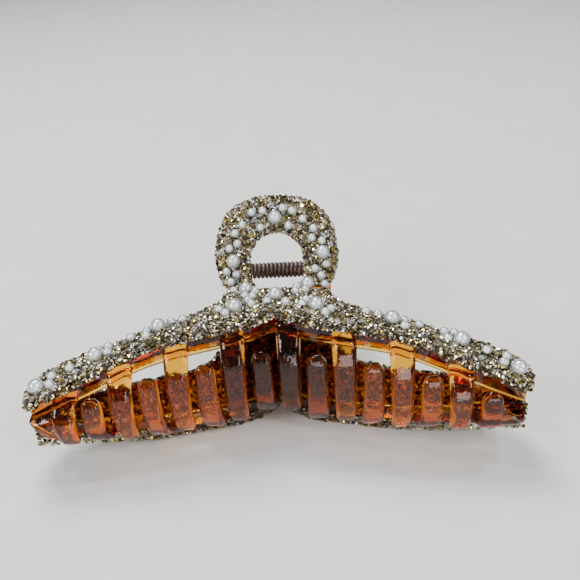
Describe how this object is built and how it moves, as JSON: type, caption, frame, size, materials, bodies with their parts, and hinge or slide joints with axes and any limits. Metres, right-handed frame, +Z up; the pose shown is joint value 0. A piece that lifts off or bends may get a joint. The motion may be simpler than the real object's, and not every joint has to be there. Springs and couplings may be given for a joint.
{
  "type": "claw hair clip",
  "caption": "Large sprung claw clip for hair: two interlocking translucent jaws with ring handles, their outer faces crusted with rhinestones and pearls.",
  "frame": {"origin": "centre of the whole clip's bounding box in X and Y, on the surface that it lies on", "axes": "+X along the clip, +Y from the teeth to the handle rings, +Z up; the clip is closed and lies on its lower jaw"},
  "size_m": [0.13, 0.0738, 0.0492],
  "materials": {
    "amber_plastic": "translucent amber, polished",
    "rhinestone_crust": "dense faceted stones, champagne, grey and clear",
    "pearl": "cool white pearl lacquer",
    "gold_stone": "faceted, foiled back",
    "clear_stone": "faceted, foiled back",
    "spring_wire": "dark brown lacquered wire",
    "pin_steel": "drawn wire"
  },
  "bodies": {
    "lower_half": {"lower_jaw": "amber_plastic", "hinge_pin": "pin_steel", "torsion_spring": "spring_wire", "lower_ring_crust": "rhinestone_crust", "lower_neck_crust": "rhinestone_crust", "lower_left_crust": "rhinestone_crust", "lower_right_crust": "rhinestone_crust", "lower_middle_large_pearls": "pearl", "lower_middle_small_pearls": "pearl", "lower_left_large_pearls": "pearl", "lower_left_small_pearls": "pearl", "lower_right_large_pearls": "pearl", "lower_right_small_pearls": "pearl", "lower_gold_stones": "gold_stone", "lower_clear_stones": "clear_stone"},
    "upper_half": {"upper_jaw": "amber_plastic", "upper_ring_crust": "rhinestone_crust", "upper_neck_crust": "rhinestone_crust", "upper_left_crust": "rhinestone_crust", "upper_right_crust": "rhinestone_crust", "upper_middle_large_pearls": "pearl", "upper_middle_small_pearls": "pearl", "upper_left_large_pearls": "pearl", "upper_left_small_pearls": "pearl", "upper_right_large_pearls": "pearl", "upper_right_small_pearls": "pearl", "upper_gold_stones": "gold_stone", "upper_clear_stones": "clear_stone"}
  },
  "joints": [
    {"name": "jaw_hinge", "type": "hinge", "parent": "lower_half", "child": "upper_half", "pos_m": [0, 0.02685, 0.02399], "axis": [-1, 0, 0], "range_deg": [0, 55], "stiffness_Nm_per_rad": 0.16, "springref_deg": -54.43, "deforming": ["torsion_spring"]}
  ]
}
